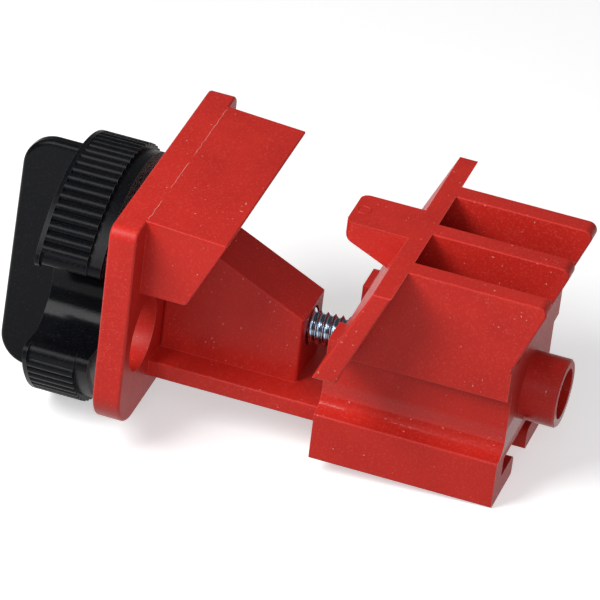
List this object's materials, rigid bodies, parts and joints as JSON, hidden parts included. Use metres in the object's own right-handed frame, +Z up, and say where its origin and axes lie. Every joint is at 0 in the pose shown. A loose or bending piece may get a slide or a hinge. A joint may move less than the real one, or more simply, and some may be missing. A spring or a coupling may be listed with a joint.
{
  "type": "clamp-on circuit breaker lockout",
  "caption": "Clamp-on lockout for a wide tilted breaker toggle: a thumb screw draws a ribbed sliding jaw towards a fixed jaw, and a padlock hole in the end plate lines up with a notch in the knob.",
  "frame": {"origin": "middle of the bottom face of the end plate, below the screw", "axes": "+X along the screw from the knob to the sliding jaw, +Z up towards the face that lies on the breaker"},
  "size_m": [0.1007, 0.052, 0.0487],
  "materials": {
    "red_moulding": "moulded nylon, fine satin texture",
    "black_moulding": "moulded glass-filled nylon, satin",
    "zinc_steel": "clear zinc plate"
  },
  "bodies": {
    "frame": {"fixed_jaw_frame": "red_moulding"},
    "screw": {"thumb_knob": "black_moulding", "clamp_screw": "zinc_steel", "thrust_washer": "zinc_steel", "retaining_ring": "zinc_steel", "stop_ring": "zinc_steel"},
    "jaw": {"sliding_jaw": "red_moulding", "clamp_nut": "zinc_steel"}
  },
  "joints": [
    {"name": "knob_turn", "type": "hinge", "parent": "frame", "child": "screw", "pos_m": [0, 0, 0.016], "axis": [1, 0, 0], "range_deg": [0, 4209.4]},
    {"name": "jaw_slide", "type": "slide", "parent": "frame", "child": "jaw", "axis": [-1, 0, 0], "range_m": [0, 0.01485]}
  ],
  "couplings": [
    {"joint": "jaw_slide", "follows": "knob_turn", "m_per_rad": 0.00020213}
  ]
}
